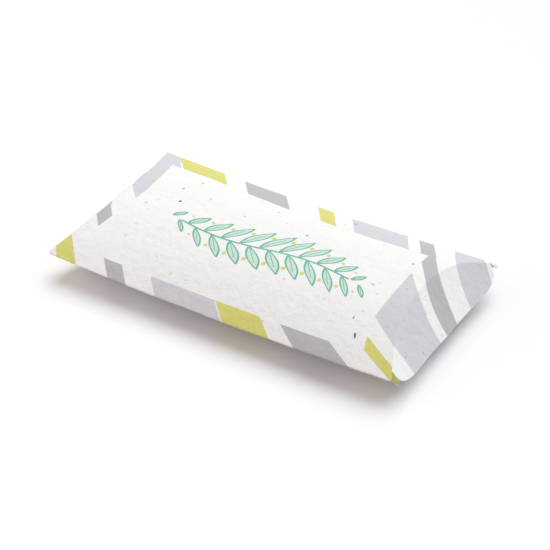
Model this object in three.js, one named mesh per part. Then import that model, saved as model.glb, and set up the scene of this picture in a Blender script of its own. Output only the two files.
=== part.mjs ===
// Pillow box folded from one sheet of handmade seed paper, lying on its belly.
// Millimetres, +X along the box towards the sprung end, -Y the front fold, +Z up,
// origin on the ground under the middle of the box.
import * as THREE from 'three';

// Overall sizes, fold to fold and over the board
const boxLength = 182;
const boxWidth = 100;
const boxHeight = 27;
const boardThickness = 0.5;

// Shape of the two panels
const endScoreDepth = 13.5; // how far the curved end score cuts into the panel at its middle
const restStripWidth = 8; // flat strip along the belly, and along the crown
const foldSag = 2.2; // how far the long folds hang below their corners at mid-length

// Clearances between pieces of board
const scoreGap = 0.4; // across a score line
const seatGap = 0.05; // between glued layers

// End flaps: a length is measured down the flap from its score, a lean is outward from upright
const outerFlapTipGap = 2; // by which an outer flap is shorter than the box is high
const outerFlapInset = 4; // from the long fold to an outer flap's side
const innerFlapLength = 12;
const innerFlapInset = 6; // from the long fold to an inner flap's side
const flapBluntness = 0.5; // lower values keep a flap longer towards its sides
const flapRootStrip = 1.2; // least length of a flap, at its sides
const earRelief = 0.6; // slot between an outer flap's side and the ear beside it
const earInset = 0.5; // from the long fold to the ear
const frontEar = { length: 4.4, lean: 60 };
const backEar = { length: 3.2, lean: 36 };
const closedOuterLean = 5;
const closedInnerLean = -6;
const sprungOuterLean = 36;
const sprungInnerLean = 10;

// Glued seam along the back fold
const tabWidth = 11;
const tabFoldInset = 2.2;
const tabEndInset = 14;
const tabEndTaper = 6;
const glueThickness = 0.2;
const glueWidth = 6;
const glueInset = 4;
const glueEndInset = 24;

// Facets
const arcFacets = 14;
const lengthFacets = 12;
const flapFacets = 30;
const earFacets = 8;
const seamFacets = 6;
const tangentStep = 0.01; // between the points that give a score line's direction

const halfLength = boxLength / 2;
const halfWidth = boxWidth / 2;
const halfHeight = boxHeight / 2;
const halfStrip = restStripWidth / 2;
const outerFlapLength = boxHeight - outerFlapTipGap;
const outerFlapHalfWidth = halfWidth - outerFlapInset;
const innerFlapHalfWidth = halfWidth - innerFlapInset;
const arcSpan = halfWidth - halfStrip;
const arcRadius = (arcSpan ** 2 + halfHeight ** 2) / (2 * halfHeight);
const degrees = Math.PI / 180;

// The section of a panel is a flat strip with an arc on each side that runs down to the fold.
// share is 1 on the strip and 0 at the fold line.
function shareOfHeight(turn) {
  return 1 - (arcRadius * (1 - Math.cos(turn))) / halfHeight;
}

function turnAt(y) {
  return Math.asin(Math.max(0, Math.abs(y) - halfStrip) / arcRadius);
}

function sagAt(x, share) {
  return -foldSag * (1 - (x / halfLength) ** 2) * (1 - share);
}

// A point of a panel, at an arc angle from the strip and a depth below the outer face.
// up is 1 for the top panel and -1 for the bottom one, across is the side of the strip.
function panelPoint(x, turn, across, depth, up) {
  const share = shareOfHeight(turn);
  const y = across * (halfStrip + (arcRadius - depth) * Math.sin(turn));
  const z = halfHeight - arcRadius + (arcRadius - depth) * Math.cos(turn);
  return new THREE.Vector3(x, y, halfHeight + up * z + sagAt(x, share));
}

// The arc angle at which a face of the board stops, half a score gap from the fold plane
function turnAtFold(depth) {
  return Math.acos((arcRadius - halfHeight + scoreGap / 2) / (arcRadius - depth));
}

function scoreX(share) {
  return halfLength - endScoreDepth * share;
}

// Shortening of the inner face where two pieces of board meet at a score
function mitre(lean) {
  const fold = Math.PI / 2 - lean * degrees;
  return boardThickness * Math.tan(fold / 2);
}

// Joins an outer and an inner grid of points of the same size into one closed sheet
function sheetFromGrids(outer, inner) {
  const rows = outer.length;
  const columns = outer[0].length;
  const positions = [...outer.flat(), ...inner.flat()].flatMap((point) => point.toArray());
  const at = (face, row, column) => face * rows * columns + row * columns + column;
  const index = [];
  const quad = (a, b, c, d) => index.push(a, b, c, a, c, d);
  for (let row = 0; row < rows - 1; row += 1) {
    for (let column = 0; column < columns - 1; column += 1) {
      quad(at(0, row, column), at(0, row, column + 1), at(0, row + 1, column + 1), at(0, row + 1, column));
      quad(at(1, row, column), at(1, row + 1, column), at(1, row + 1, column + 1), at(1, row, column + 1));
    }
    const last = columns - 1;
    quad(at(0, row, 0), at(0, row + 1, 0), at(1, row + 1, 0), at(1, row, 0));
    quad(at(0, row, last), at(1, row, last), at(1, row + 1, last), at(0, row + 1, last));
  }
  for (let column = 0; column < columns - 1; column += 1) {
    const last = rows - 1;
    quad(at(0, 0, column), at(1, 0, column), at(1, 0, column + 1), at(0, 0, column + 1));
    quad(at(0, last, column), at(0, last, column + 1), at(1, last, column + 1), at(1, last, column));
  }
  const geometry = new THREE.BufferGeometry();
  geometry.setAttribute('position', new THREE.Float32BufferAttribute(positions, 3));
  geometry.setIndex(volumeOf(positions, index) > 0 ? index : index.reverse());
  geometry.computeVertexNormals();
  return geometry;
}

function volumeOf(positions, index) {
  const corner = (i) => new THREE.Vector3().fromArray(positions, 3 * index[i]);
  let volume = 0;
  for (let i = 0; i < index.length; i += 3) {
    volume += corner(i).dot(corner(i + 1).cross(corner(i + 2))) / 6;
  }
  return volume;
}

// The arc angles of a panel's columns, from the front fold over the strip to the back fold
function panelColumns(depth) {
  const fold = turnAtFold(depth);
  const columns = [];
  for (let step = arcFacets; step >= 0; step -= 1) {
    columns.push({ turn: (fold * step) / arcFacets, across: -1 });
  }
  for (let step = 0; step <= arcFacets; step += 1) {
    columns.push({ turn: (fold * step) / arcFacets, across: 1 });
  }
  return columns;
}

// A panel runs between its two long folds and its two curved end scores
function panelGeometry(up, leftLean, rightLean) {
  const face = (depth) => {
    const rows = [];
    for (let station = 0; station <= lengthFacets; station += 1) {
      rows.push(panelColumns(depth).map(({ turn, across }) => {
        const end = scoreX(shareOfHeight(turn)) - scoreGap / 2;
        const inward = depth > 0 ? 1 : 0;
        const left = -end + inward * mitre(leftLean);
        const right = end - inward * mitre(rightLean);
        return panelPoint(THREE.MathUtils.lerp(left, right, station / lengthFacets), turn, across, depth, up);
      }));
    }
    return rows;
  };
  return sheetFromGrids(face(0), face(boardThickness));
}

// A point of the curved score at one end of a panel
function scorePoint(y, up, end) {
  const share = shareOfHeight(turnAt(y));
  const x = end * scoreX(share);
  return new THREE.Vector3(x, y, halfHeight * (1 + up * share) + sagAt(x, share));
}

// A flap hangs from the score of its panel: each line of it runs straight from the score
function flapGeometry({ up, end, places, lengthAt, lean }) {
  const along = new THREE.Vector3(end * Math.sin(lean * degrees), 0, -up * Math.cos(lean * degrees));
  const outer = [[], []];
  const inner = [[], []];
  for (const y of places) {
    const across = scorePoint(y + tangentStep, up, end).sub(scorePoint(y - tangentStep, up, end));
    const inward = across.cross(along).normalize();
    inward.multiplyScalar(-end * Math.sign(inward.x) * boardThickness);
    const root = scorePoint(y, up, end).addScaledVector(along, scoreGap / 2);
    const tip = scorePoint(y, up, end).addScaledVector(along, lengthAt(y));
    outer[0].push(root);
    outer[1].push(tip);
    inner[0].push(root.clone().addScaledVector(along, mitre(lean)).add(inward));
    inner[1].push(tip.clone().add(inward));
  }
  return sheetFromGrids(outer, inner);
}

// Places across a flap, closer together near its sides, where its edge turns in
function placesAcross(reach, count) {
  return Array.from({ length: count + 1 }, (_, i) => -reach * Math.cos((Math.PI * i) / count));
}

// How much of a flap's full length is left at a place, for a flap with rounded sides
function fullness(y, reach) {
  return Math.max(0, 1 - (y / reach) ** 2) ** flapBluntness;
}

function outerFlapGeometry(end, lean) {
  const reach = outerFlapHalfWidth;
  const lengthAt = (y) => Math.max(flapRootStrip, outerFlapLength * fullness(y, reach));
  return flapGeometry({ up: 1, end, places: placesAcross(reach, flapFacets), lengthAt, lean });
}

function innerFlapGeometry(end, lean) {
  const reach = innerFlapHalfWidth;
  const lengthAt = (y) => Math.max(flapRootStrip, innerFlapLength * fullness(y, reach));
  return flapGeometry({ up: -1, end, places: placesAcross(reach, flapFacets), lengthAt, lean });
}

// An ear is the rounded corner of the top panel's end, between the outer flap's side and the
// long fold. side is -1 at the front fold and 1 at the back fold.
function earGeometry(end, side, { length, lean }) {
  const start = outerFlapHalfWidth + earRelief;
  const reach = (halfWidth - earInset - start) / 2;
  const middle = start + reach;
  const places = placesAcross(reach, earFacets).map((offset) => side * middle + offset);
  const lengthAt = (y) => flapRootStrip
    + (length - flapRootStrip) * fullness(y - side * middle, reach);
  return flapGeometry({ up: 1, end, places, lengthAt, lean });
}

// A layer under the top panel beside the back fold, such as the tab and its glue
function seamLayer({ depth, thickness, from, width, endInset, taper }) {
  const face = (faceDepth) => {
    const rows = [];
    for (let station = 0; station <= lengthFacets; station += 1) {
      const row = [];
      for (let step = 0; step <= seamFacets; step += 1) {
        const y = halfWidth - from - (width * step) / seamFacets;
        const reach = halfLength - endInset - (taper * step) / seamFacets;
        const x = THREE.MathUtils.lerp(-reach, reach, station / lengthFacets);
        row.push(panelPoint(x, turnAt(y), 1, faceDepth, 1));
      }
      rows.push(row);
    }
    return rows;
  };
  return sheetFromGrids(face(depth), face(depth + thickness));
}

function paper(color) {
  return new THREE.MeshStandardMaterial({ color, roughness: 0.92, metalness: 0 });
}

const printedPaper = paper(0xf4f2ee);
const barePaper = paper(0xeeebe4);
const glue = new THREE.MeshStandardMaterial({ color: 0xe9e4d2, roughness: 0.4, metalness: 0 });

const box = new THREE.Group();

function addPiece(name, geometry, material) {
  const mesh = new THREE.Mesh(geometry, material);
  mesh.name = name;
  box.add(mesh);
}

addPiece('top_panel', panelGeometry(1, closedOuterLean, sprungOuterLean), printedPaper);
addPiece('bottom_panel', panelGeometry(-1, closedInnerLean, sprungInnerLean), printedPaper);
addPiece('left_outer_flap', outerFlapGeometry(-1, closedOuterLean), printedPaper);
addPiece('right_outer_flap', outerFlapGeometry(1, sprungOuterLean), printedPaper);
addPiece('left_inner_flap', innerFlapGeometry(-1, closedInnerLean), printedPaper);
addPiece('right_inner_flap', innerFlapGeometry(1, sprungInnerLean), printedPaper);
addPiece('front_corner_ear', earGeometry(1, -1, frontEar), printedPaper);
addPiece('back_corner_ear', earGeometry(1, 1, backEar), printedPaper);

const glueDepth = boardThickness + seatGap;
addPiece('seam_glue', seamLayer({
  depth: glueDepth,
  thickness: glueThickness,
  from: glueInset,
  width: glueWidth,
  endInset: glueEndInset,
  taper: 0,
}), glue);
addPiece('glue_tab', seamLayer({
  depth: glueDepth + glueThickness + seatGap,
  thickness: boardThickness,
  from: tabFoldInset,
  width: tabWidth,
  endInset: tabEndInset,
  taper: tabEndTaper,
}), barePaper);

export default box;
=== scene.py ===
import math

import bmesh
import bpy
from mathutils import Matrix, Vector


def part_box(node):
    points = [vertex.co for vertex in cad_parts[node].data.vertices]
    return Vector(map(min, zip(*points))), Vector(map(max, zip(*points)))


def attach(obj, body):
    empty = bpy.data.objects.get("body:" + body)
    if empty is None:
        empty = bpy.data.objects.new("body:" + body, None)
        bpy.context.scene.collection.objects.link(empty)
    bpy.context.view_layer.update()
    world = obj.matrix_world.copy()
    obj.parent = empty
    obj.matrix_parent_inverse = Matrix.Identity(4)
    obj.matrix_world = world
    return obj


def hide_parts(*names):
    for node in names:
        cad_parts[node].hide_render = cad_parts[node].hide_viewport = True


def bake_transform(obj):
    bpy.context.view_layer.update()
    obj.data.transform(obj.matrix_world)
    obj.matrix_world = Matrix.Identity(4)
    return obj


# A pillow box of handmade seed paper, folded from one sheet and lying on its belly.
# Metres, +X towards the sprung end, -Y the front fold, +Z up.

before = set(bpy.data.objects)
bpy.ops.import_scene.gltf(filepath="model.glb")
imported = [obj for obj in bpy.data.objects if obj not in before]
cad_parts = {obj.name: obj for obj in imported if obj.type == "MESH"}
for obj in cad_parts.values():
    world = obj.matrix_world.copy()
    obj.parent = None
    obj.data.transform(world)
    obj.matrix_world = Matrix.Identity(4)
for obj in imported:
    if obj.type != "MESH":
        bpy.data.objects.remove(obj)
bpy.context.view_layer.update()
print("frame loaded")

mm = 0.001

boxShape = {
    "Length": 182 * mm,
    "Width": 100 * mm,
    "Height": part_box("top_panel")[1].z,
    "Score Depth": 13.5 * mm,  # how far the curved end score cuts into the panel
    "Strip Width": 8 * mm,  # flat strip along the belly and the crown
    "Fold Sag": 2.2 * mm,
    "Corner Reach": 2.6 * mm,  # of the worn rounding at the sleeve's four corners, across and along
    "Corner Cut": 1.6 * mm,
}
boardThickness = 0.5 * mm


class Wire:
    # one socket of a node tree, so that sums on it read as sums
    def __init__(self, bench, socket):
        self.bench = bench
        self.socket = socket

    def math(self, operation, *others, clamp=False):
        inputs = dict(enumerate((self, *others)))
        return self.bench.add("ShaderNodeMath", {"operation": operation, "use_clamp": clamp}, inputs)

    def after(self, operation, other):
        return self.bench.add("ShaderNodeMath", {"operation": operation}, {0: other, 1: self})

    def __add__(self, other):
        return self.math("ADD", other)

    def __radd__(self, other):
        return self.after("ADD", other)

    def __sub__(self, other):
        return self.math("SUBTRACT", other)

    def __rsub__(self, other):
        return self.after("SUBTRACT", other)

    def __mul__(self, other):
        return self.math("MULTIPLY", other)

    def __rmul__(self, other):
        return self.after("MULTIPLY", other)

    def __truediv__(self, other):
        return self.math("DIVIDE", other)

    def __rtruediv__(self, other):
        return self.after("DIVIDE", other)

    def __pow__(self, other):
        return self.math("POWER", other)

    def __neg__(self):
        return self.math("MULTIPLY", -1.0)

    def __abs__(self):
        return self.math("ABSOLUTE")

    def most(self, other):
        return self.math("MAXIMUM", other)

    def least(self, other):
        return self.math("MINIMUM", other)

    def over(self, softness):  # 1 where the value is above zero, with a soft edge
        return (self / softness).math("ADD", 0.5, clamp=True)


class Bench:
    # a node tree, with one method that adds any node to it
    def __init__(self, tree):
        self.tree = tree

    def add(self, kind, settings=None, inputs=None, output=0):
        node = self.tree.nodes.new(kind)
        for name, value in (settings or {}).items():
            setattr(node, name, value)
        for key, value in (inputs or {}).items():
            if isinstance(value, Wire):
                self.tree.links.new(value.socket, node.inputs[key])
            else:
                node.inputs[key].default_value = value
        return Wire(self, node.outputs[output]) if len(node.outputs) else None

    def split(self, vector):
        node = self.add("ShaderNodeSeparateXYZ", None, {0: vector}).socket.node
        return [Wire(self, socket) for socket in node.outputs]

    def join(self, x, y, z):
        return self.add("ShaderNodeCombineXYZ", None, {0: x, 1: y, 2: z})

    def scaled(self, vector, factor):
        return self.add("ShaderNodeVectorMath", {"operation": "SCALE"}, {0: vector, "Scale": factor})

    def mixed(self, factor, first, second):
        return self.add("ShaderNodeMix", {"data_type": "RGBA"}, {0: factor, 6: first, 7: second}, 2)


socketKinds = {
    float: "NodeSocketFloat",
    int: "NodeSocketInt",
    bpy.types.Material: "NodeSocketMaterial",
    bpy.types.Mesh: "NodeSocketGeometry",
}


def newTree(name, inputs):
    tree = bpy.data.node_groups.new(name, "GeometryNodeTree")
    for label, kind in inputs.items():
        tree.interface.new_socket(label, in_out="INPUT", socket_type=socketKinds[kind])
    tree.interface.new_socket("Geometry", in_out="OUTPUT", socket_type="NodeSocketGeometry")
    bench = Bench(tree)
    source = tree.nodes.new("NodeGroupInput")
    return bench, {label: Wire(bench, source.outputs[label]) for label in inputs}


def closeTree(bench, geometry):
    sink = bench.tree.nodes.new("NodeGroupOutput")
    bench.tree.links.new(geometry.socket, sink.inputs[0])
    return bench.tree


def addModifier(piece, tree, values):
    modifier = piece.modifiers.new(tree.name, "NODES")
    modifier.node_group = tree
    for item in tree.interface.items_tree:
        if item.name in values and item.in_out == "INPUT":
            modifier[item.identifier] = values[item.name]


def newPiece(name, mesh=None):
    piece = bpy.data.objects.new(name, mesh or bpy.data.meshes.new(name))
    bpy.context.scene.collection.objects.link(piece)
    return piece


def settle(piece):  # turns the modifiers into a plain mesh
    depsgraph = bpy.context.evaluated_depsgraph_get()
    made = piece.evaluated_get(depsgraph)
    mesh = bpy.data.meshes.new_from_object(made, preserve_all_data_layers=True, depsgraph=depsgraph)
    piece.modifiers.clear()
    piece.data = mesh
    mesh.name = piece.name
    for slot in reversed(range(len(mesh.materials))):  # grids and icospheres bring an empty slot
        if mesh.materials[slot] is None:
            mesh.materials.pop(index=slot)


# What both sheet trees share: a panel's section is a flat strip with an arc on each side, and share
# falls along it from 1 at the crown to 0 at the fold
def sectionFields(bench, sizes):
    halfLength = sizes["Length"] * 0.5
    halfHeight = sizes["Height"] * 0.5
    halfStrip = sizes["Strip Width"] * 0.5
    span = sizes["Width"] * 0.5 - halfStrip
    radius = (span * span + halfHeight * halfHeight) / (halfHeight * 2.0)
    return halfLength, halfHeight, halfStrip, span, radius


def scoreField(sizes, halfLength, share, arc, foldArc):
    past = ((arc - foldArc) / sizes["Corner Reach"] + 1).most(0.0).least(1.0)
    rounding = sizes["Corner Cut"] * (1 - (1 - past * past).most(0.0) ** 0.5)
    return halfLength - sizes["Score Depth"] * share - rounding


def sagField(sizes, halfLength, x, share):
    return sizes["Fold Sag"] * (1 - (x / halfLength) ** 2.0) * (1 - share)


def placeSheet(bench, grid, place, flat):  # keeps each point's place on the flat sheet for the print
    stored = bench.add(
        "GeometryNodeStoreNamedAttribute",
        {"data_type": "FLOAT_VECTOR", "domain": "POINT"},
        {"Geometry": grid, "Name": "sheetPlace", "Value": flat},
    )
    return bench.add("GeometryNodeSetPosition", None, {"Geometry": stored, "Position": place})


slowWaves = {"Scale": 70.0, "Detail": 2.0, "Roughness": 0.5}


def waved(bench, surface, height):  # slow waves of the handmade sheet, alike on all pieces at a place
    sample = bench.add("ShaderNodeTexNoise", {"noise_dimensions": "3D"}, slowWaves)
    normal = bench.add("GeometryNodeInputNormal")
    offset = bench.scaled(normal, (sample - 0.5) * height)
    return bench.add("GeometryNodeSetPosition", None, {"Geometry": surface, "Offset": offset})


def unitGrid(bench, along, across):
    inputs = {"Size X": 1.0, "Size Y": 1.0, "Vertices X": along, "Vertices Y": across}
    grid = bench.add("GeometryNodeMeshGrid", None, inputs)
    x, y, _ = bench.split(bench.add("GeometryNodeInputPosition"))
    return grid, x, y


sleeveSizes = {
    "Rows": 121,
    "Columns": 121,
    "Trim Left": 0.55 * mm,  # from an end crease to where its rounding starts
    "Trim Right": 0.4 * mm,
    "Seam Gap": 0.25 * mm,  # between the top panel's cut edge and the fold under it
    "Merge Within": 0.02 * mm,
    "Waves": 0.5 * mm,
}


def sleeveTree():
    kinds = {label: float for label in boxShape}
    kinds.update({label: type(value) for label, value in sleeveSizes.items()})
    kinds.update({"Top Paper": bpy.types.Material, "Bottom Paper": bpy.types.Material})
    bench, sizes = newTree("foldedSleeve", kinds)
    halfLength, halfHeight, halfStrip, span, radius = sectionFields(bench, sizes)
    foldTurn = (span / radius).math("ARCSINE")

    def panel(side, seamGap):
        grid, alongGrid, acrossGrid = unitGrid(bench, sizes["Rows"], sizes["Columns"])
        farEdge = halfStrip + radius * foldTurn
        arc = acrossGrid * 2.0 * farEdge
        arc = arc.least(farEdge - seamGap) if seamGap else arc
        distance = abs(arc)
        turn = (distance - halfStrip).most(0.0) / radius
        y = arc.math("SIGN") * (distance.least(halfStrip) + radius * turn.math("SINE"))
        share = 1 - radius * (1 - turn.math("COSINE")) / halfHeight
        score = scoreField(sizes, halfLength, share, distance, farEdge)
        left = sizes["Trim Left"] - score
        right = score - sizes["Trim Right"]
        x = left + (right - left) * (alongGrid + 0.5)
        z = halfHeight + halfHeight * share * float(side) - sagField(sizes, halfLength, x, share)
        flat = bench.join(x / mm, arc / mm, 0.0)
        surface = placeSheet(bench, grid, bench.join(x, y, z), flat)
        return bench.add("GeometryNodeFlipFaces", None, {"Mesh": surface}) if side < 0 else surface

    top = panel(1, None)
    bottom = panel(-1, sizes["Seam Gap"])
    both = bench.add("GeometryNodeJoinGeometry")
    for part in (bottom, top):
        bench.tree.links.new(part.socket, both.socket.node.inputs[0])
    inputs = {"Geometry": both, "Distance": sizes["Merge Within"]}
    merged = bench.add("GeometryNodeMergeByDistance", None, inputs)
    real = bench.add("GeometryNodeRealizeInstances", None, {0: waved(bench, merged, sizes["Waves"])})
    inputs = {"Geometry": real, "Material": sizes["Top Paper"]}
    papered = bench.add("GeometryNodeSetMaterial", None, inputs)
    faceUp = bench.split(bench.add("GeometryNodeInputNormal"))[2]
    under = faceUp.math("LESS_THAN", 0.0)
    inputs = {"Geometry": papered, "Selection": under, "Material": sizes["Bottom Paper"]}
    return closeTree(bench, bench.add("GeometryNodeSetMaterial", None, inputs))


flapTreeSizes = {  # what all flaps share, and what each one sets for itself
    "Rows": 40,
    "Columns": 81,
    "Crease Share": 0.2,  # of the rows, spent on the rounding at the crease
    "End": 1.0,
    "Side": 1.0,
    "Lean": 0.0,
    "Flap Length": 0.0,
    "Reach": 0.0,
    "Middle": 0.0,
    "Bluntness": 0.5,
    "Root Strip": 1.2 * mm,
    "Trim": 0.4 * mm,
    "Waves": 0.5 * mm,
}

# Leans are outward from upright, in degrees, as on the CAD flaps
outerFlap = {"side": 1, "Flap Length": 25 * mm, "Reach": 46 * mm}
innerFlap = {"side": -1, "Flap Length": 12 * mm, "Reach": 44 * mm}
flapSizes = {
    "right_outer": {"lean": 36.0, "end": 1, "seed": 17, **outerFlap},
    "left_outer": {"lean": 5.0, "end": -1, "seed": 16, **outerFlap},
    "right_inner": {"lean": 10.0, "end": 1, "seed": 17, **innerFlap},
    "left_inner": {"lean": -6.0, "end": -1, "seed": 16, **innerFlap},
}
cornerEar = {"end": 1, "side": 1, "Reach": 1.45 * mm, "Rows": 16, "Columns": 25}
earSizes = {
    "front_corner_ear": {"lean": 60.0, "seed": 22, "Flap Length": 4.4 * mm, "Middle": -48.05 * mm},
    "back_corner_ear": {"lean": 36.0, "seed": 21, "Flap Length": 2.6 * mm, "Middle": 48.05 * mm},
}


def flapTree():
    kinds = {label: float for label in boxShape}
    kinds.update({label: type(value) for label, value in flapTreeSizes.items()})
    kinds["Paper"] = bpy.types.Material
    bench, sizes = newTree("hangingFlap", kinds)
    halfLength, halfHeight, halfStrip, span, radius = sectionFields(bench, sizes)
    grid, alongGrid, acrossGrid = unitGrid(bench, sizes["Rows"], sizes["Columns"])

    offset = sizes["Reach"] * (acrossGrid * math.pi).math("SINE")
    y = sizes["Middle"] + offset
    turn = ((abs(y) - halfStrip).most(0.0) / radius).math("ARCSINE")
    share = 1 - radius * (1 - turn.math("COSINE")) / halfHeight
    distance = abs(y).least(halfStrip) + radius * turn
    foldArc = halfStrip + radius * (span / radius).math("ARCSINE")
    score = scoreField(sizes, halfLength, share, distance, foldArc)
    base = halfHeight + halfHeight * share * sizes["Side"] - sagField(sizes, halfLength, score, share)

    fullness = (1 - (offset / sizes["Reach"]) ** 2.0).most(0.0) ** sizes["Bluntness"]
    length = (sizes["Flap Length"] * fullness).most(sizes["Root Strip"])

    fold = math.pi / 2 - sizes["Lean"]
    trim = sizes["Trim"]
    creaseRadius = trim / (fold * 0.5).math("TANGENT")
    place = alongGrid + 0.5
    bent = (place / sizes["Crease Share"]).least(1.0)
    turned = bent * fold
    straight = (length - trim) * ((place - sizes["Crease Share"]) / (1 - sizes["Crease Share"])).most(0.0)
    outward = creaseRadius * turned.math("SINE") - trim + straight * sizes["Lean"].math("SINE")
    inward = creaseRadius * (1 - turned.math("COSINE")) + straight * sizes["Lean"].math("COSINE")
    down = straight + trim * (bent * 2.0 - 1.0)

    x = (score + outward) * sizes["End"]
    z = base - inward * sizes["Side"]
    arc = y.math("SIGN") * distance
    flat = bench.join((score + down) * sizes["End"] / mm, arc / mm, down / mm)
    surface = placeSheet(bench, grid, bench.join(x, y, z), flat)
    flipped = bench.add("GeometryNodeFlipFaces", None, {"Mesh": surface})
    mirrored = (sizes["End"] * sizes["Side"]).math("LESS_THAN", 0.0)
    inputs = {"Switch": mirrored, "False": surface, "True": flipped}
    outside = bench.add("GeometryNodeSwitch", {"input_type": "GEOMETRY"}, inputs)
    real = bench.add("GeometryNodeRealizeInstances", None, {0: waved(bench, outside, sizes["Waves"])})
    inputs = {"Geometry": real, "Material": sizes["Paper"]}
    return closeTree(bench, bench.add("GeometryNodeSetMaterial", None, inputs))


# Materials

paperLook = {
    "sheet": (0.915, 0.907, 0.902, 1),
    "warm patch": (0.895, 0.878, 0.858, 1),
    "cool patch": (0.9, 0.907, 0.902, 1),
    "inside": (0.87, 0.852, 0.825, 1),
    "fleck": (0.43, 0.4, 0.375, 1),
    "roughness": 0.88,
    "specular": 0.28,
}
inks = {
    "lightGrey": (0.645, 0.63, 0.672, 1),
    "midGrey": (0.49, 0.478, 0.49, 1),
    "yellow": (0.7, 0.665, 0.155, 1),
    # the ear's yellow print with painted shade over it, for the shade that the flap casts on the ear
    "yellowInPaintedShade": (0.4, 0.385, 0.085, 1),
    "teal": (0.13, 0.47, 0.34, 1),
    "paleGreen": (0.61, 0.765, 0.66, 1),
}

# The slanted stripes of the border, between two edges and at times past a third one. An edge is
# (x mm, t mm, slant): the line through that place whose x falls by slant for each mm of t, where t
# is measured round the section from the crown.
stripeBands = {
    "back": [
        ("lightGrey", (-104, 41, 0.7), (-76.1, 41, 0.716)),
        ("yellow", (-75, 41, 0.716), (-49.7, 41, 0.646)),
        ("midGrey", (-38.2, 41, 0.635), (-15.3, 41, 0.62)),
        ("yellow", (2, 41, 0.565), (10.5, 41, 0.56)),
        ("lightGrey", (20.4, 41, 0.53), (49.6, 41, 0.475)),
        ("midGrey", (55.7, 41, 0.49), (63.5, 41, 0.5)),
        ("lightGrey", (73.9, 41, 0.47), (89.4, 41, 0.5)),
    ],
    "front": [
        ("midGrey", (-60, -48, 0.83), (-50, -48, 0.835)),
        ("lightGrey", (-34.3, -48, 0.8), (0.1, -48, 0.96)),
        ("yellow", (0.8, -48, 0.987), (24.4, -48, 1.117)),
        ("midGrey", (35.7, -48, 1.38), (61.8, -48, 1.72)),
    ],
    "left": [
        ("lightGrey", (-72.8, -3.5, 0.91), (-40, 41, 0.7)),
        ("midGrey", (-80.9, -23, 0.82), (-71.8, -23, 0.8)),
        ("yellow", (-86.3, -50, 0.62), (-75.7, -50, 0.78)),
    ],
    "right": [
        ("lightGrey", (74.1, -30, 1.39), (74.5, 0, 0.82)),
        ("midGrey", (73.4, 10, 0.687), (76.4, 17.4, 0.6)),
        ("lightGrey", (79.6, 30, 0.5), (89.4, 41, 0.5)),
        ("yellow", (81.6, -48, 1.9), (90.8, -48, 1.75), (70.2, -36.1, 0.26)),
    ],
}
# The edges of the plain middle: mm from the middle of the panel, bow outwards, its centre, its most
borderWindow = {
    "left": (68.7, 0.006, 1, 6),
    "right": (68.9, -0.0016, -8, 2),
    "back": (25, 0.00105, 22, 5.7),
    "front": (44.4, 0, 0, 0),
}
backBow = 0.003  # of the stripes' edges beyond the window, where the sheet turns down to the fold
printSoftness = 0.12  # mm, of an ink edge

# On a flap an edge is (t mm at the crease, t gained per mm down the flap, t gained per square mm)
flapStripes = [
    ("lightGrey", (-36.7, 0.18, -0.003), (-3.5, -0.41, 0.0098)),
    ("midGrey", (3.8, -0.53, 0.0127), (14.6, -0.39, 0.005)),
    ("lightGrey", (27.5, -0.46, 0.0078), (45.5, -0.28, -0.003)),
]

# A generic sprig on the top panel, in mm
sprig = {
    "middle": (3, -11),
    "halfLength": 44.0,
    "sway": 2.4,
    "pairSpacing": 9.5,
    "leafLength": 13.5,
    "leafHalfWidth": 2.9,
    "slant": 0.8,
    "lineWidth": 0.95,
    "veinWidth": 0.45,
    "leafRoot": 0.04,  # shares of a leaf, and of the sprig's half length
    "veinReach": 0.72,
    "lastLeaf": 0.93,
    "lastBerry": 0.82,
    "shareSoftness": 0.01,
    "endSoftness": 0.02,
    "veinSoftness": 0.05,
    "berryRise": 9.0,
    "berryRadius": 1.15,
}


def beyondEdge(along, across, edge, bow=0.0):
    x, t, slant = edge
    past = across - t
    return along + past * slant - past * past * bow - x


def addMask(masks, ink, mask):
    masks[ink] = masks[ink].most(mask) if ink in masks else mask


def pastWindow(side, outward, alongSide):
    place, bow, middle, most = borderWindow[side]
    return (outward - place - ((alongSide - middle) ** 2.0 * bow).least(most)).over(printSoftness)


def borderMasks(along, across):
    inLeft = pastWindow("left", -along, across)
    inRight = pastWindow("right", along, across)
    inBack = pastWindow("back", across, along)
    inFront = pastWindow("front", -across, along)
    bandMask = {"back": inBack, "front": inFront, "left": inLeft, "right": inRight * (1 - inBack)}
    masks = {}
    for band, stripes in stripeBands.items():
        bow = backBow if band == "back" else 0.0
        for ink, firstEdge, secondEdge, *startEdge in stripes:
            mask = beyondEdge(along, across, firstEdge, bow).over(printSoftness)
            mask = mask * (-beyondEdge(along, across, secondEdge, bow)).over(printSoftness)
            for edge in startEdge:
                mask = mask * beyondEdge(along, across, edge).over(printSoftness)
            addMask(masks, ink, mask * bandMask[band])
    return masks


def flapMasks(across, down):
    masks = {}
    square = down * down
    for ink, (firstStart, firstGain, firstBow), (lastStart, lastGain, lastBow) in flapStripes:
        first = (across - down * firstGain - square * firstBow - firstStart).over(printSoftness)
        last = (down * lastGain + square * lastBow + lastStart - across).over(printSoftness)
        addMask(masks, ink, first * last)
    return masks


def sprigSize(cell):  # leaves and berries shrink towards both ends of the sprig
    reach = abs(cell * (sprig["pairSpacing"] / (sprig["halfLength"] + sprig["pairSpacing"])))
    return reach, (1 - reach * reach).most(0.0) ** 0.5


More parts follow.
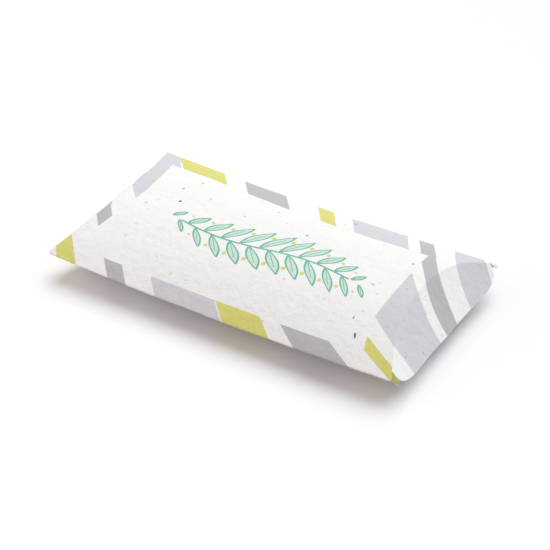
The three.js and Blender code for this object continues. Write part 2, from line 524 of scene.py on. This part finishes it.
def sprigMasks(along, across):
    # pairs of slender leaves along a swaying stem, with berries between them
    x = along - sprig["middle"][0]
    inLength = (sprig["halfLength"] - abs(x)).over(printSoftness)
    stemLine = (x * (math.pi / sprig["halfLength"])).math("SINE") * sprig["sway"]
    rise = across - sprig["middle"][1] - stemLine
    fromStem = abs(rise)
    stem = (sprig["lineWidth"] / 2 - fromStem).over(printSoftness) * inLength
    spacing = sprig["pairSpacing"]
    sheared = x - fromStem * sprig["slant"] + rise.math("SIGN") * (spacing / 4)

    cell = (sheared / spacing).math("ROUND")
    reach, size = sprigSize(cell)
    place = fromStem / (size * sprig["leafLength"]).most(0.01)
    halfWidth = (place.least(1.0) * math.pi).math("SINE") * size * sprig["leafHalfWidth"]
    fromVein = abs(sheared - cell * spacing)
    exists = (sprig["lastLeaf"] - reach).over(sprig["shareSoftness"])
    exists = exists * (1 - place).over(sprig["endSoftness"])
    exists = exists * (place - sprig["leafRoot"]).over(sprig["endSoftness"])
    leaf = (halfWidth - fromVein).over(printSoftness) * exists
    outline = (sprig["lineWidth"] / 2 - abs(halfWidth - fromVein)).over(printSoftness) * exists
    vein = (sprig["veinWidth"] / 2 - fromVein).over(printSoftness)
    vein = vein * (sprig["veinReach"] - place).over(sprig["veinSoftness"]) * exists

    border = (sheared / spacing).math("FLOOR") + 0.5
    reach, size = sprigSize(border)
    above = fromStem - size * sprig["berryRise"]
    aside = sheared - border * spacing + above * sprig["slant"]
    berry = (size * sprig["berryRadius"] - (above * above + aside * aside) ** 0.5).over(printSoftness)
    berry = berry * (sprig["lastBerry"] - reach).over(sprig["shareSoftness"])
    return {"paleGreen": leaf, "teal": stem.most(outline).most(vein), "yellow": berry}


def newMaterial(name):
    material = bpy.data.materials.new(name)
    material.use_nodes = True
    material.node_tree.nodes.clear()
    return material, Bench(material.node_tree)


def placeOnPiece(bench):  # in mm
    return bench.scaled(bench.add("ShaderNodeTexCoord", None, None, 3), 1 / mm)


paperNoise = {  # scale per mm, detail, roughness, distortion
    "patches": (0.045, 3.0, 0.5, 0.0),
    "tints": (0.03, 1.0, 0.5, 0.0),
    "pulp": (0.55, 4.0, 0.62, 0.0),
    "lumps": (0.2, 2.0, 0.5, 0.0),
    "dents": (0.34, 3.0, 0.5, 0.35),
}
paperHairs = {"fibres": (0.11, 5.0, 0.16), "hairs": (0.3, 2.5, 0.07)}  # scale per mm, warp and width in mm
paperFlecks = {  # spacing, least and most radius in mm, share of the cells that have one
    "flecks": (10.0, 0.4, 1.1, 0.3),
    "specks": (5.0, 0.15, 0.45, 0.3),
}
fleckShape = {"sharpness": 1.6, "faintest": 0.35, "softness": 0.02}
hairShape = {"bendScale": 1.7, "showScale": 0.9, "showAbove": 0.52, "showSoftness": 0.08}
paperRelief = {  # mm
    "lumps": 0.36,
    "dents": 0.78,
    "pulp": 0.06,
    "fibres": 0.05,
    "hairs": 0.015,
    "flecks": -0.08,
}
paperTone = {
    "warm patch": {"above": 0.5, "softness": 0.5, "strength": 0.55},
    "cool patch": {"above": 0.52, "softness": 0.3, "strength": 0.4},
    "flecks": 0.55,
    "specks": 0.6,
    "pulp": 0.05,
    "lumps": 0.04,
    "fibres": 0.012,
    "inkCover": 0.97,
    "inkMottle": 0.06,
    "inkWander": 0.16,  # mm, of an ink edge on the rough sheet
    "wanderScale": 1.1,
    "roughnessChange": 0.08,
}


def noise(bench, place, scale, detail=3.0, roughness=0.5, distortion=0.0):
    inputs = {"Vector": place, "Scale": scale, "Detail": detail, "Roughness": roughness}
    inputs["Distortion"] = distortion
    return bench.add("ShaderNodeTexNoise", {"noise_dimensions": "3D"}, inputs)


def noiseColor(bench, place, scale, detail=2.0):
    return bench.add("ShaderNodeTexNoise", None, {"Vector": place, "Scale": scale, "Detail": detail}, 1)


def fleckMask(bench, flat, spacing, least, most, share):
    # soft round bits of plant in the pulp, at most one to a cell and only in some cells
    settings = {"voronoi_dimensions": "2D", "feature": "F1"}
    cells = bench.add("ShaderNodeTexVoronoi", settings, {"Vector": flat, "Scale": 1 / spacing})
    shade = Wire(bench, cells.socket.node.outputs["Color"])
    red, green, blue = bench.split(shade)
    radius = (least + (most - least) * green) / spacing
    spot = ((radius - cells) / radius).math("MULTIPLY", fleckShape["sharpness"], clamp=True)
    strength = fleckShape["faintest"] + blue * (1 - fleckShape["faintest"])
    return spot * (share - red).over(fleckShape["softness"]) * strength


def fibreMask(bench, place, scale, warp, width):
    # long hairs of pulp: the borders of large warped cells, shown only here and there
    bend = noiseColor(bench, place, scale * hairShape["bendScale"])
    inputs = {0: bend, 1: (warp, warp, warp), 2: place}
    moved = bench.add("ShaderNodeVectorMath", {"operation": "MULTIPLY_ADD"}, inputs)
    inputs = {"Vector": moved, "Scale": scale}
    cells = bench.add("ShaderNodeTexVoronoi", {"feature": "DISTANCE_TO_EDGE"}, inputs)
    shown = noise(bench, place, scale * hairShape["showScale"], 2.0) - hairShape["showAbove"]
    here = shown.over(hairShape["showSoftness"])
    return (width * scale - cells).over(width * scale) * here


def paperFields(bench, place, flat):
    fields = {name: noise(bench, place, *look) for name, look in paperNoise.items()}
    fields.update({name: fibreMask(bench, place, *look) for name, look in paperHairs.items()})
    fields.update({name: fleckMask(bench, flat, *look) for name, look in paperFlecks.items()})
    fields["dents"] = fields["dents"] * fields["patches"]
    return fields


def patchMask(field, look):
    return (field - look["above"]).over(look["softness"]) * look["strength"]


def paperColor(bench, place, flat, fields, maskMaker, tint):
    sheet, warm, cool = (tint or paperLook[name] for name in ("sheet", "warm patch", "cool patch"))
    color = bench.mixed(patchMask(fields["patches"], paperTone["warm patch"]), sheet, warm)
    color = bench.mixed(patchMask(fields["tints"], paperTone["cool patch"]), color, cool)
    if maskMaker:
        wander = bench.scaled(noiseColor(bench, place, paperTone["wanderScale"]), paperTone["inkWander"])
        printed = bench.add("ShaderNodeVectorMath", {"operation": "ADD"}, {0: flat, 1: wander})
        cover = paperTone["inkCover"] - fields["pulp"] * paperTone["inkMottle"]
        for ink, mask in maskMaker(*bench.split(printed)).items():
            color = bench.mixed(mask * cover, color, inks[ink])
    shade = 1.0 + (fields["pulp"] - 0.5) * paperTone["pulp"] + (fields["lumps"] - 0.5) * paperTone["lumps"]
    shade = shade + (fields["fibres"] + fields["hairs"]) * paperTone["fibres"]
    spots = (fields["flecks"] * paperTone["flecks"]).most(fields["specks"] * paperTone["specks"])
    return bench.mixed(spots, bench.scaled(color, shade), paperLook["fleck"])


def paperMaterial(name, maskMaker=None, tint=None):
    material, bench = newMaterial(name)
    place = placeOnPiece(bench)
    flat = bench.add("ShaderNodeAttribute", {"attribute_name": "sheetPlace"}, None, 1)
    fields = paperFields(bench, place, flat)
    height = 0.0
    for label, depth in paperRelief.items():
        height = fields[label] * depth + height
    bump = bench.add("ShaderNodeBump", None, {"Strength": 1.0, "Distance": mm, "Height": height})
    inputs = {
        "Base Color": paperColor(bench, place, flat, fields, maskMaker, tint),
        "Roughness": paperLook["roughness"] + (fields["pulp"] - 0.5) * paperTone["roughnessChange"],
        "Specular IOR Level": paperLook["specular"],
        "Normal": bump,
    }
    surface = bench.add("ShaderNodeBsdfPrincipled", None, inputs)
    bench.add("ShaderNodeOutputMaterial", None, {0: surface})
    return material


def topPrint(along, across, down):
    masks = borderMasks(along, across)
    for ink, mask in sprigMasks(along, across).items():
        addMask(masks, ink, mask)
    return masks


def bottomPrint(along, across, down):
    return borderMasks(along, across)


def flapPrint(along, across, down):
    return flapMasks(across, down)


def earPrintWithPaintedShade(along, across, down):  # the ear's yellow print, darkened all over by painted shade, because down never falls to -10 mm
    return {"yellowInPaintedShade": (down + 10.0).over(1.0)}


papers = {
    "top": paperMaterial("printedTopPaper", topPrint),
    "bottom": paperMaterial("printedBottomPaper", bottomPrint),
    "flap": paperMaterial("printedFlapPaper", flapPrint),
    "ear": paperMaterial("earPaperWithPaintedShade", earPrintWithPaintedShade),
    "plain": paperMaterial("plainPaper"),
    "inside": paperMaterial("insidePaper", tint=paperLook["inside"]),
}
print("papers mixed")

seedLook = {
    "dark": (0.05, 0.035, 0.03, 1),
    "brown": (0.24, 0.205, 0.18, 1),
    "grey": (0.42, 0.4, 0.385, 1),
}
seedGrain = {
    "noise": (2.6, 3.0, 0.6),  # scale per mm, detail, roughness
    "lightening": 2.0,
    "lighterAbove": 0.45,
    "softness": 0.3,
    "strength": 0.6,
    "depth": 0.1 * mm,
    "roughness": 0.5,
    "roughnessChange": 0.2,
}


def seedMaterial(name, shade):
    material, bench = newMaterial(name)
    grain = noise(bench, placeOnPiece(bench), *seedGrain["noise"])
    lighter = tuple(min(1.0, part * seedGrain["lightening"]) for part in shade[:3]) + (1,)
    mottle = (grain - seedGrain["lighterAbove"]).over(seedGrain["softness"])
    color = bench.mixed(mottle, shade, lighter)
    depth = {"Strength": seedGrain["strength"], "Distance": seedGrain["depth"], "Height": grain}
    bump = bench.add("ShaderNodeBump", None, depth)
    roughness = seedGrain["roughness"] + grain * seedGrain["roughnessChange"]
    inputs = {"Base Color": color, "Roughness": roughness, "Normal": bump}
    surface = bench.add("ShaderNodeBsdfPrincipled", None, inputs)
    bench.add("ShaderNodeOutputMaterial", None, {0: surface})
    return material


seedMaterials = {name: seedMaterial(f"{name}Seed", shade) for name, shade in seedLook.items()}

sowing = {
    "Per Square Metre": 900.0,
    "Least Size": 0.25 * mm,
    "Most Size": 0.5 * mm,
    "Least Length": 0.8,  # times the size
    "Most Length": 1.9,
    "Flatness": 0.45,
    "Dark Share": 0.3,
}


def randomValue(bench, seed, least, most):
    inputs = {2: least, 3: most, "Seed": seed}
    return bench.add("FunctionNodeRandomValue", {"data_type": "FLOAT"}, inputs, 1)


def sowingTree():
    # scatters seeds, half sunk, over the printed faces of a sheet
    kinds = {"Sheet": bpy.types.Mesh, **{label: float for label in sowing}}
    kinds.update({"Seed": int, "Printed Slots": int})
    kinds.update({"Light Seed": bpy.types.Material, "Dark Seed": bpy.types.Material})
    bench, inputs = newTree("sownSeeds", kinds)
    printed = bench.add("GeometryNodeInputMaterialIndex").math("LESS_THAN", inputs["Printed Slots"])
    spread = {"Mesh": inputs["Sheet"], "Selection": printed, "Density": inputs["Per Square Metre"]}
    spread["Seed"] = inputs["Seed"]
    points = bench.add("GeometryNodeDistributePointsOnFaces", None, spread)

    outward = Wire(bench, points.socket.node.outputs["Rotation"])
    size = randomValue(bench, 3, inputs["Least Size"], inputs["Most Size"])
    long = randomValue(bench, 5, inputs["Least Length"], inputs["Most Length"])
    angles = bench.join(0.0, 0.0, randomValue(bench, 7, 0.0, math.tau))
    spin = bench.add("FunctionNodeEulerToRotation", None, {0: angles})
    laid = bench.add("FunctionNodeRotateRotation", {"rotation_space": "LOCAL"}, {0: outward, 1: spin})
    grain = bench.add("GeometryNodeMeshIcoSphere", None, {"Radius": 1.0, "Subdivisions": 2})
    scale = bench.join(size * long, size, size * inputs["Flatness"])
    planting = {"Points": points, "Instance": grain, "Rotation": laid, "Scale": scale}
    planted = bench.add("GeometryNodeInstanceOnPoints", None, planting)

    chance = {"Probability": inputs["Dark Share"], "Seed": 11}
    dark = bench.add("FunctionNodeRandomValue", {"data_type": "BOOLEAN"}, chance, 3)
    settings = {"data_type": "BOOLEAN", "domain": "INSTANCE"}
    mark = {0: planted, "Name": "darkSeed", "Value": dark}
    marked = bench.add("GeometryNodeStoreNamedAttribute", settings, mark)
    real = bench.add("GeometryNodeRealizeInstances", None, {0: marked})
    light = bench.add("GeometryNodeSetMaterial", None, {"Geometry": real, "Material": inputs["Light Seed"]})
    isDark = bench.add("GeometryNodeInputNamedAttribute", {"data_type": "BOOLEAN"}, {"Name": "darkSeed"})
    darkening = {"Geometry": light, "Selection": isDark, "Material": inputs["Dark Seed"]}
    both = bench.add("GeometryNodeSetMaterial", None, darkening)
    joined = bench.add("GeometryNodeJoinGeometry")
    for part in (both, inputs["Sheet"]):
        bench.tree.links.new(part.socket, joined.socket.node.inputs[0])
    return closeTree(bench, joined)


sownSeeds = sowingTree()


def sowSheet(piece, seed, printedSlots):
    values = {**sowing, "Seed": seed, "Printed Slots": printedSlots}
    values.update({"Light Seed": seedMaterials["grey"], "Dark Seed": seedMaterials["brown"]})
    addModifier(piece, sownSeeds, values)
    settle(piece)


softFold = {"width": 0.8 * mm, "segments": 4}
sharpAngle = math.radians(40)


def finishSheet(piece, insideOffset, fold, seed):
    # rounds the folds, gives the sheet its wall and inside paper, and sows it
    piece.data.materials.append(papers["inside"])
    if fold:
        bevel = piece.modifiers.new("softFold", "BEVEL")
        bevel.limit_method = "ANGLE"
        bevel.angle_limit = sharpAngle
        bevel.width = fold["width"]
        bevel.segments = fold["segments"]
    wall = piece.modifiers.new("board", "SOLIDIFY")
    wall.thickness = boardThickness
    wall.offset = -1
    wall.use_even_offset = True
    wall.material_offset = insideOffset
    wall.material_offset_rim = insideOffset
    settle(piece)
    sowSheet(piece, seed, insideOffset)
    piece.data.shade_smooth()
    piece.data.set_sharp_from_angle(angle=sharpAngle)


sleeveSeed = 4


def makeSleeve():
    piece = newPiece("sleeve_sheet")
    values = {**boxShape, **sleeveSizes, "Top Paper": papers["top"], "Bottom Paper": papers["bottom"]}
    addModifier(piece, sleeveTree(), values)
    settle(piece)
    finishSheet(piece, 2, softFold, sleeveSeed)
    return piece


def makeFlap(name, tree, sizes, paper):
    piece = newPiece(name)
    values = {**boxShape, **flapTreeSizes, "Paper": paper}
    values.update({label: value for label, value in sizes.items() if label in flapTreeSizes})
    values.update({"End": float(sizes["end"]), "Side": float(sizes["side"])})
    values["Lean"] = math.radians(sizes["lean"])
    values["Trim"] = sleeveSizes["Trim Right" if sizes["end"] > 0 else "Trim Left"]
    addModifier(piece, tree, values)
    settle(piece)
    finishSheet(piece, 1, None, sizes["seed"])
    return piece


def hingeFlap(piece, sizes):
    # the crease lies in a plane, and distance below it grows down the flap
    halfHeight = boxShape["Height"] / 2
    depth = boxShape["Score Depth"]
    normal = Vector((sizes["end"] * halfHeight, 0, sizes["side"] * depth)).normalized()
    lean = math.radians(sizes["lean"])
    down = Vector((sizes["end"] * math.sin(lean), 0, -sizes["side"] * math.cos(lean)))
    crown = Vector((sizes["end"] * (boxShape["Length"] / 2 - depth), 0, halfHeight * (1 + sizes["side"])))
    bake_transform(piece)


# Seeds that stand out, on the top panel: (x mm, t mm), length and width in mm, turn in degrees
largeSeeds = [
    {"at": (-50, 1), "size": (1.5, 1.25), "turn": 20, "seed": "dark"},
    {"at": (65, -38), "size": (3.0, 0.85), "turn": 118, "seed": "dark"},
    {"at": (24, 37), "size": (1.5, 0.7), "turn": 10, "seed": "brown"},
    {"at": (58, -9), "size": (1.9, 1.2), "turn": 160, "seed": "grey"},
    {"at": (-63, -8), "size": (1.5, 0.9), "turn": 60, "seed": "grey"},
    {"at": (-39, 10), "size": (1.4, 0.9), "turn": 0, "seed": "grey"},
    {"at": (60, -30), "size": (1.3, 0.8), "turn": 100, "seed": "brown"},
]
seedThickness = 0.55


def panelPlace(x, t):  # a place on the top panel, t round its section from the crown
    halfHeight, halfStrip = boxShape["Height"] / 2, boxShape["Strip Width"] / 2
    span = boxShape["Width"] / 2 - halfStrip
    radius = (span**2 + halfHeight**2) / (2 * halfHeight)
    turn = max(0.0, abs(t) - halfStrip) / radius
    share = 1 - radius * (1 - math.cos(turn)) / halfHeight
    y = math.copysign(min(abs(t), halfStrip) + radius * math.sin(turn), t)
    sag = boxShape["Fold Sag"] * (1 - (2 * x / boxShape["Length"]) ** 2) * (1 - share)
    return Vector((x, y, halfHeight * (1 + share) - sag))


def makeLargeSeeds(sheet):
    shape = bmesh.new()
    slots = list(seedLook)
    for seed in largeSeeds:
        x, t = seed["at"]
        _, place, normal, _ = sheet.closest_point_on_mesh(panelPlace(x * mm, t * mm))
        length, width = seed["size"]
        made = bmesh.ops.create_icosphere(shape, subdivisions=3, radius=mm / 2)["verts"]
        turned = Matrix.Rotation(math.radians(seed["turn"]), 4, "Z")
        laid = normal.to_track_quat("Z", "Y").to_matrix().to_4x4()
        shaped = Matrix.Diagonal((length, width, seedThickness, 1))
        matrix = Matrix.Translation(place) @ laid @ turned @ shaped
        bmesh.ops.transform(shape, matrix=matrix, verts=made)
        for face in {face for vertex in made for face in vertex.link_faces}:
            face.material_index = slots.index(seed["seed"])
            face.smooth = True
    mesh = bpy.data.meshes.new("large_seeds")
    shape.to_mesh(mesh)
    shape.free()
    for name in slots:
        mesh.materials.append(seedMaterials[name])
    return newPiece("large_seeds", mesh)


sleeve = makeSleeve()
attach(sleeve, "sleeve")
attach(makeLargeSeeds(sleeve), "sleeve")
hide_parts("top_panel", "bottom_panel")
print("sleeve folded")

hangingFlap = flapTree()
for label, sizes in flapSizes.items():
    paper = papers["flap"] if sizes["side"] > 0 else papers["plain"]
    flap = makeFlap(f"{label}_sheet", hangingFlap, sizes, paper)
    hingeFlap(flap, sizes)
    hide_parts(f"{label}_flap")

for label, sizes in earSizes.items():
    # the front ear's paper carries its yellow print darkened by painted shade
    paper = papers["ear"] if sizes["Middle"] < 0 else papers["plain"]
    ear = makeFlap(f"{label}_sheet", hangingFlap, {**cornerEar, **sizes}, paper)
    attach(ear, "sleeve")
    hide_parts(label)
print("flaps hung")

for node in ("glue_tab", "seam_glue"):
    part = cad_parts[node]
    part.data.materials.clear()
    part.data.materials.append(papers["inside"])

stage = {
    "floorSize": 6.0,
    "floorDrop": 0.2 * mm,
    "floorShown": (0.99, 0.98, 1.0, 1),
    "floorFelt": (0.8, 0.8, 0.8, 1),  # by the light that it throws back on the box
    "sky": 0.45,
    "skyTint": (1.0, 0.855, 0.84, 1),
}
suns = {
    "window": {"strength": 2.07, "spread": 66.0, "from": (0.12, 0.48, 0.9), "tint": (0.895, 0.995, 1.0)},
    "rightFill": {"strength": 0.25, "spread": 70.0, "from": (0.85, 0.1, 0.4), "tint": (0.6, 0.9, 1.0)},
}
nearLamp = {"strength": 0.4, "size": 0.4, "from": (-0.4, -0.22, 0.22), "tint": (1.0, 0.98, 0.97)}


def seenDirectly(bench):  # 1 for rays that show a surface, 0 for those that only light another
    paths = bench.add("ShaderNodeLightPath").socket.node.outputs
    camera, glossy, through = (
        Wire(bench, paths[name]) for name in ("Is Camera Ray", "Is Glossy Ray", "Is Transmission Ray")
    )
    return camera.most(glossy).most(through)


def floorMaterial():
    material, bench = newMaterial("whiteTable")
    seen = seenDirectly(bench)
    shown = bench.add("ShaderNodeBsdfDiffuse", None, {"Color": stage["floorShown"]})
    felt = bench.add("ShaderNodeBsdfDiffuse", None, {"Color": stage["floorFelt"]})
    both = bench.add("ShaderNodeMixShader", None, {0: seen, 1: felt, 2: shown})
    bench.add("ShaderNodeOutputMaterial", None, {0: both})
    return material


def makeFloor():
    shape = bmesh.new()
    bmesh.ops.create_grid(shape, x_segments=1, y_segments=1, size=stage["floorSize"] / 2)
    bmesh.ops.translate(shape, verts=shape.verts, vec=(0, 0, -stage["floorDrop"]))
    mesh = bpy.data.meshes.new("table")
    shape.to_mesh(mesh)
    shape.free()
    mesh.materials.append(floorMaterial())
    newPiece("table", mesh)


def skyWorld():
    world = bpy.data.worlds.new("softSky")
    world.use_nodes = True
    world.node_tree.nodes.clear()
    bench = Bench(world.node_tree)
    tint = tuple(part * stage["sky"] for part in stage["skyTint"][:3]) + (1,)
    color = bench.mixed(seenDirectly(bench), tint, (1, 1, 1, 1))
    sky = bench.add("ShaderNodeBackground", None, {"Color": color})
    bench.add("ShaderNodeOutputWorld", None, {0: sky})
    return world


def hangLamp(name, kind, values):  # aimed at the middle of the table
    lamp = bpy.data.lights.new(name, kind)
    lamp.energy = values["strength"]
    lamp.color = values["tint"]
    piece = newPiece(name, lamp)
    piece.location = values["from"]
    piece.rotation_euler = Vector(values["from"]).to_track_quat("Z", "Y").to_euler()
    return piece


def makeLights():
    for name, values in suns.items():
        hangLamp(name, "SUN", values).data.angle = math.radians(values["spread"])
    near = hangLamp("nearLamp", "AREA", nearLamp)
    near.data.size = nearLamp["size"]
    near.visible_camera = False
    bpy.context.scene.world = skyWorld()


# The view: turned and raised as in the photograph, aimed close to the middle of the box
view = {
    "azimuth": 31.286,
    "elevation": 36.23,
    "distance": 0.9561,
    "right": 1.807 * mm,
    "down": 7.57 * mm,
    "focal": 136.62,
    "sensor": 36.0,
}


def makeCamera():
    turn, rise = math.radians(view["azimuth"]), math.radians(view["elevation"])
    right = Vector((math.cos(turn), math.sin(turn), 0))
    back = Vector((math.sin(turn) * math.cos(rise), -math.cos(turn) * math.cos(rise), math.sin(rise)))
    up = back.cross(right)
    middle = Vector((0, 0, boxShape["Height"] / 2))
    lens = bpy.data.cameras.new("camera")
    lens.lens = view["focal"]
    lens.sensor_width = view["sensor"]
    lens.clip_start = 0.01
    camera = newPiece("camera", lens)
    place = middle + right * view["right"] - up * view["down"] + back * view["distance"]
    camera.matrix_world = Matrix.Translation(place) @ Matrix((right, up, back)).transposed().to_4x4()
    bpy.context.scene.camera = camera


makeFloor()
makeLights()
makeCamera()
bpy.context.scene.view_settings.view_transform = "Standard"
print("stage set")
